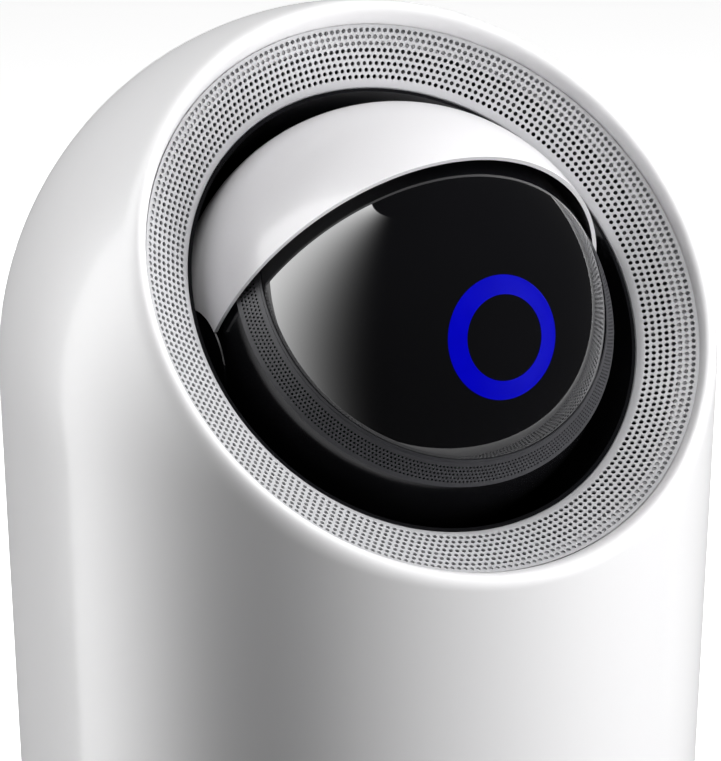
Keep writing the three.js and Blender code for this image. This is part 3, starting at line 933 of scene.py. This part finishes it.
cap_outer = filter_radius + 4.2
for name, node, low, bore in (
    ("filter top cap", "filter_top_cap", filter_top - cap_tall, filter_bore),
    ("filter bottom cap", "filter_bottom_cap", filter_bottom, 0.0),
):
    outline = [
        (bore, low), (cap_outer - 0.8, low), (cap_outer, low + 0.8),
        (cap_outer, low + cap_tall - 0.8), (cap_outer - 0.8, low + cap_tall),
        (bore, low + cap_tall),
    ]
    piece(spun(outline, 128), name, [node], grey_plain, "filter")

# %% [markdown]
# The parts that stay hidden keep their engineering meshes, and only need a finish each. A table of
# names and finishes is enough.

# %% Finishes for the engineering parts
inner_parts = {
    black_gloss: ["eye_stem", "power_inlet"],
    dark_satin: ["impeller"],
    grey_plain: ["lid_motor", "lid_bearing", "fan_deck", "inlet_ring", "fan_housing",
                 "motor_bridge", "air_sensor", "left_post", "right_post", "filter_pull_tab"],
    steel: ["lid_pivot_left", "lid_pivot_right", "motor_shaft", "fan_motor",
            *[f"motor_screw_{i}" for i in (1, 2, 3)], *[f"base_screw_{i}" for i in (1, 2, 3, 4)]],
    board: ["eye_board", "control_board", "power_board"],
    carbon: ["carbon_core"],
}
for finish, names in inner_parts.items():
    for name in names:
        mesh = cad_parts[name].data
        mesh.materials.clear()
        mesh.materials.append(finish)
print("finished engineering parts:", sum(len(names) for names in inner_parts.values()))

# %% [markdown]
# The camera looks from the front left, a little above the mouth, through a long lens, close
# enough that the foot stays out of the picture. It comes before the lamps, because they are
# placed to its left and right.

# %% Camera
camera_turn, camera_rise = math.radians(29.24), math.radians(20.61)
camera_reach, camera_lens = 1.0778, 121.1
aim_right, aim_down = 0.0011, 0.0100
to_camera = Vector((
    -math.sin(camera_turn) * math.cos(camera_rise),
    -math.cos(camera_turn) * math.cos(camera_rise),
    math.sin(camera_rise),
))
to_right = Vector((math.cos(camera_turn), -math.sin(camera_turn), 0))
upwards = to_camera.cross(to_right)
aim = dome * MM + to_right * aim_right - upwards * aim_down
camera_data = bpy.data.cameras.new("camera")
camera_data.sensor_fit = "HORIZONTAL"
camera_data.sensor_width = 36.0
camera_data.lens = camera_lens
camera = bpy.data.objects.new("camera", camera_data)
camera.location = dome * MM + to_camera * camera_reach
camera.rotation_euler = (aim - camera.location).to_track_quat("-Z", "Y").to_euler()
bpy.context.scene.collection.objects.link(camera)
bpy.context.scene.camera = camera
print("camera at", tuple(round(part, 3) for part in camera.location))

# %% [markdown]
# The floor is pale and glows a little, like a light table, so that it stays white without being
# flooded with light. It throws nothing back at the purifier, which keeps the soft grey valley
# down the front of the white body and the depth of the black glass.

# %% Floor and room
floor_radius, floor_glow = 30.0, 0.85
floor_mesh = bmesh.new()
bmesh.ops.create_circle(floor_mesh, cap_ends=True, segments=96, radius=floor_radius)
floor_data = bpy.data.meshes.new("floor")
floor_mesh.to_mesh(floor_data)
floor_mesh.free()
floor = bpy.data.objects.new("floor", floor_data)
bpy.context.scene.collection.objects.link(floor)
pale = Finish("pale floor")
floor_data.materials.append(pale.set(
    Base_Color=pale.tones((0.90, 0.90, 0.90), (0.94, 0.94, 0.94), pale.noise(3.0)),
    Roughness=0.8,
    Emission_Color=(1.0, 1.0, 1.0, 1.0),
    Emission_Strength=floor_glow,
))
floor.visible_diffuse = False
floor.visible_glossy = False

room_light, room_white = 0.025, 1.0
world = bpy.data.worlds.new("studio")
bpy.context.scene.world = world
bpy.context.scene.view_settings.view_transform = "Standard"
world.use_nodes = True
backdrop = world.node_tree.nodes["Background"]
backdrop.inputs["Color"].default_value = (1.0, 1.0, 1.0, 1)
path = world.node_tree.nodes.new("ShaderNodeLightPath")
level = world.node_tree.nodes.new("ShaderNodeMath")
level.operation = "MULTIPLY_ADD"
level.inputs[1].default_value = room_white
level.inputs[2].default_value = room_light
world.node_tree.links.new(path.outputs["Is Camera Ray"], level.inputs[0])
world.node_tree.links.new(level.outputs[0], backdrop.inputs["Strength"])
print("room light", room_light)

# %% [markdown]
# Four soft lamps light the body: the key on the right, a weaker one on the left, one overhead for
# the rolled lip and the lid, and one behind. None of them shows in reflections. A curved sail on
# the left shows in nothing else: it fades out towards the front, and its reflection is the soft
# streak down the glass.

# %% Lights
target = dome * MM
sail_reach, sail_from, sail_sweep = 2.2, math.radians(-2), math.radians(102)
sail_low, sail_high, sail_glow = -2.6, 12.0, 7.0


def sail():
    """An upright strip round the purifier, from the front left to the far left."""
    bm = bmesh.new()
    front = Vector((to_camera.x, to_camera.y, 0)).normalized()
    start = front * math.cos(sail_from) - to_right * math.sin(sail_from)
    foot = start * sail_reach
    verts = [bm.verts.new((foot.x, foot.y, height)) for height in (sail_low, sail_high)]
    line = bm.edges.new(verts)
    bmesh.ops.spin(
        bm, geom=[*verts, line], cent=(0, 0, 0), axis=(0, 0, -1), angle=sail_sweep, steps=32
    )
    return bm


sail_light = Finish("sail light")
to_left = to_right / -sail_reach
leftward = sail_light.add(
    "ShaderNodeVectorMath", {"operation": "DOT_PRODUCT"}, {0: sail_light.where, 1: to_left}, 1
)
no_less = sail_light.add("ShaderNodeMath", {"operation": "MAXIMUM"}, {0: leftward, 1: 0.0})
squared = no_less * leftward
rise = squared * squared
faint = (room_light / sail_glow,) * 3
sail_light.set(Base_Color=(0, 0, 0, 1), Specular_IOR_Level=0.0, Roughness=1.0,
               Emission_Color=sail_light.tones(faint, (1, 1, 1), rise), Emission_Strength=sail_glow)
sail_data = bpy.data.meshes.new("sail")
sail_mesh = sail()
sail_mesh.to_mesh(sail_data)
sail_mesh.free()
sail_data.materials.append(sail_light.material)
sail_object = bpy.data.objects.new("sail", sail_data)
bpy.context.scene.collection.objects.link(sail_object)
sail_object.visible_camera = False
sail_object.visible_diffuse = False
sail_object.visible_shadow = False


def panel(name, place, wide, tall, power):
    """A rectangular lamp at place, in metres, that faces the purifier and isn't mirrored in it."""
    lamp = bpy.data.lights.new(name, "AREA")
    lamp.shape = "RECTANGLE"
    lamp.size, lamp.size_y = wide, tall
    lamp.energy = power
    obj = bpy.data.objects.new(name, lamp)
    obj.location = place
    obj.rotation_euler = (target - Vector(place)).to_track_quat("-Z", "Y").to_euler()
    obj.visible_glossy = False
    bpy.context.scene.collection.objects.link(obj)


ahead = Vector((to_camera.x, to_camera.y, 0)).normalized()


def beside(degrees, reach, height):
    """A place that many degrees to the right of the camera."""
    turn = math.radians(degrees)
    return (to_right * math.sin(turn) + ahead * math.cos(turn)) * reach + Vector((0, 0, height))


panel("right panel", beside(70, 2.2, 0.8), 0.9, 2.2, 69)
panel("left panel", beside(-98, 2.2, 0.5), 0.8, 2.2, 43)
panel("top lamp", ahead * 0.35 + to_right * 0.3 + Vector((0, 0, 2.4)), 1.2, 1.2, 28)
panel("back panel", beside(165, 2.4, 0.9), 1.6, 2.0, 44)

# %% [markdown]
# Last, the view layer is brought up to date.

# %% Finish
bpy.context.view_layer.update()
